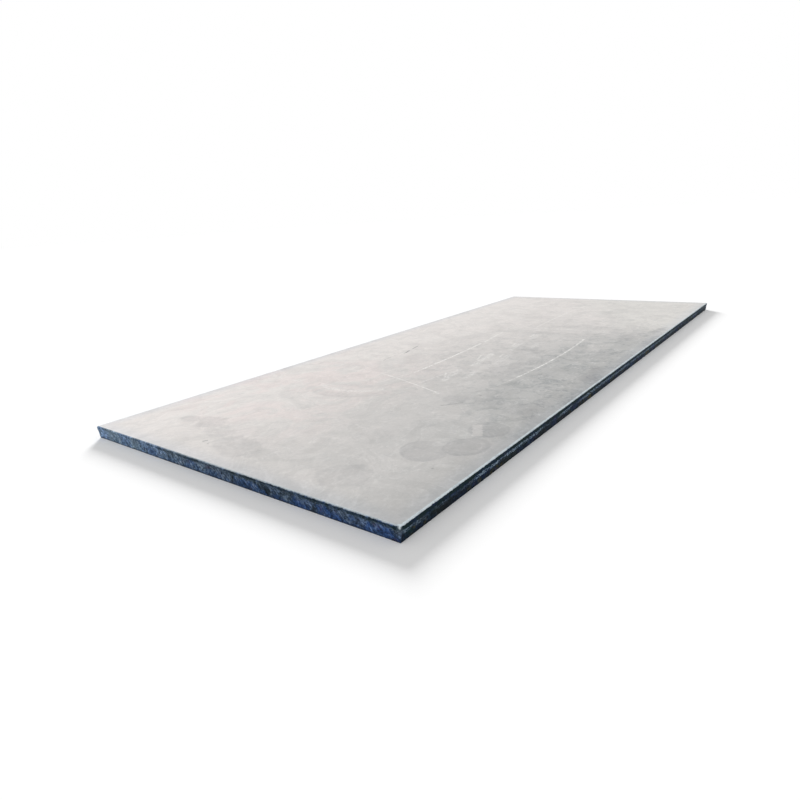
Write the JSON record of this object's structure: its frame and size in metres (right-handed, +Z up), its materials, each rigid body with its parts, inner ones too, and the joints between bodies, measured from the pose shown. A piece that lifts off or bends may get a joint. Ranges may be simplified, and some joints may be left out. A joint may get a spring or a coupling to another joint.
{
  "type": "steel plate",
  "caption": "Flat rectangular hot-rolled steel plate with square corners, a rolled-over top arris and sheared, torn edges.",
  "frame": {"origin": "centre of the bottom face, on the floor that the plate lies on", "axes": "+X along the length, +Y across the width, +Z up through the thickness; the knocked corner is at -X, -Y"},
  "size_m": [3, 1.25, 0.04],
  "materials": {
    "rolled_steel": "pale mill scale, matt, with dark blue-black sheared edges"
  },
  "bodies": {
    "root": {"steel_plate": "rolled_steel"}
  },
  "joints": []
}
